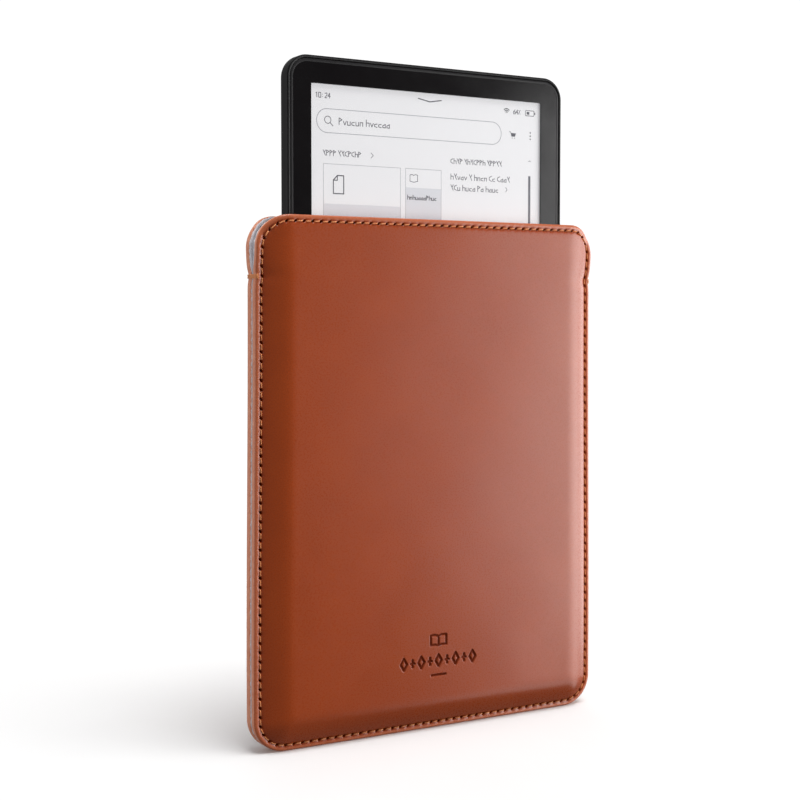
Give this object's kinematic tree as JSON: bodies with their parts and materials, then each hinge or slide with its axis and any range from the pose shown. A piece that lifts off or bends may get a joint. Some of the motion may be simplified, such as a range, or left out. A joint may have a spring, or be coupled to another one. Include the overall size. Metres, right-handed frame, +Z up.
{
  "type": "e-reader with slip sleeve",
  "caption": "Slim e-reader with a flush front and rounded back, drawn part way out of a stitched leather slip sleeve lined with felt.",
  "frame": {"origin": "centre of the sleeve's bottom edge, on the surface that it stands on", "axes": "+Z up along the sleeve's height and the way the reader draws out; the screen faces -Y; +X is to the right of someone facing the screen"},
  "size_m": [0.1556, 0.0182, 0.261],
  "materials": {
    "leather": "tan vegetable-tanned leather, waxed, semi-matte",
    "felt": "light grey wool felt",
    "thread": "waxed light orange polyester thread",
    "shell_plastic": "soft-touch black polycarbonate",
    "lens": "satin anti-glare front lens",
    "black_ink": "printed black border",
    "foam": "black foam and adhesive",
    "clear_plastic": "clear moulded film",
    "epaper": "matte electronic paper",
    "white_plastic": "ivory connector plastic",
    "steel": "stamped stainless steel",
    "foil": "silver foil and pressed can",
    "board": "green solder-masked fibreglass board",
    "chip": "black moulded package",
    "flex": "amber flexible circuit",
    "brass": "sprung brass sheet"
  },
  "bodies": {
    "sleeve": {"sleeve_front_leather": "leather", "sleeve_rear_leather": "leather", "sleeve_front_felt": "felt", "sleeve_rear_felt": "felt", "sleeve_front_thread": "thread", "sleeve_rear_thread": "thread", "sleeve_left_bar_tack": "thread", "sleeve_right_bar_tack": "thread"},
    "reader": {"rear_shell": "shell_plastic", "front_lens": "lens", "border_mask": "black_ink", "lens_gasket": "foam", "charge_light": "clear_plastic", "touch_sensor": "clear_plastic", "light_guide": "clear_plastic", "epaper_panel": "epaper", "led_strip": "flex", "display_frame": "shell_plastic", "mid_plate": "steel", "battery_cell": "foil", "battery_tape": "foam", "battery_lead": "flex", "battery_socket": "white_plastic", "display_ribbon": "flex", "display_socket": "white_plastic", "touch_ribbon": "flex", "touch_socket": "white_plastic", "light_ribbon": "flex", "light_socket": "white_plastic", "main_board": "board", "processor": "chip", "processor_shield": "foil", "memory_chip": "chip", "storage_chip": "chip", "power_chip": "chip", "wireless_module": "foil", "hall_sensor": "chip", "wifi_antenna": "brass", "antenna_cable": "chip", "usb_shell": "steel", "usb_tongue": "chip", "usb_gasket": "foam", "power_switch": "foil", "plate_screw_1": "steel", "plate_screw_2": "steel", "plate_screw_3": "steel", "plate_screw_4": "steel", "plate_screw_5": "steel", "plate_screw_6": "steel", "plate_screw_7": "steel", "plate_screw_8": "steel", "board_screw_1": "steel", "board_screw_2": "steel"},
    "power_button": {"power_button": "shell_plastic"}
  },
  "joints": [
    {"name": "reader_slide", "type": "slide", "parent": "sleeve", "child": "reader", "axis": [0, 0, 1], "range_m": [-0.074, 0.12]},
    {"name": "power_button_press", "type": "slide", "parent": "reader", "child": "power_button", "axis": [0, 0, 1], "range_m": [0, 0.0004], "stiffness_N_per_m": 1500}
  ]
}
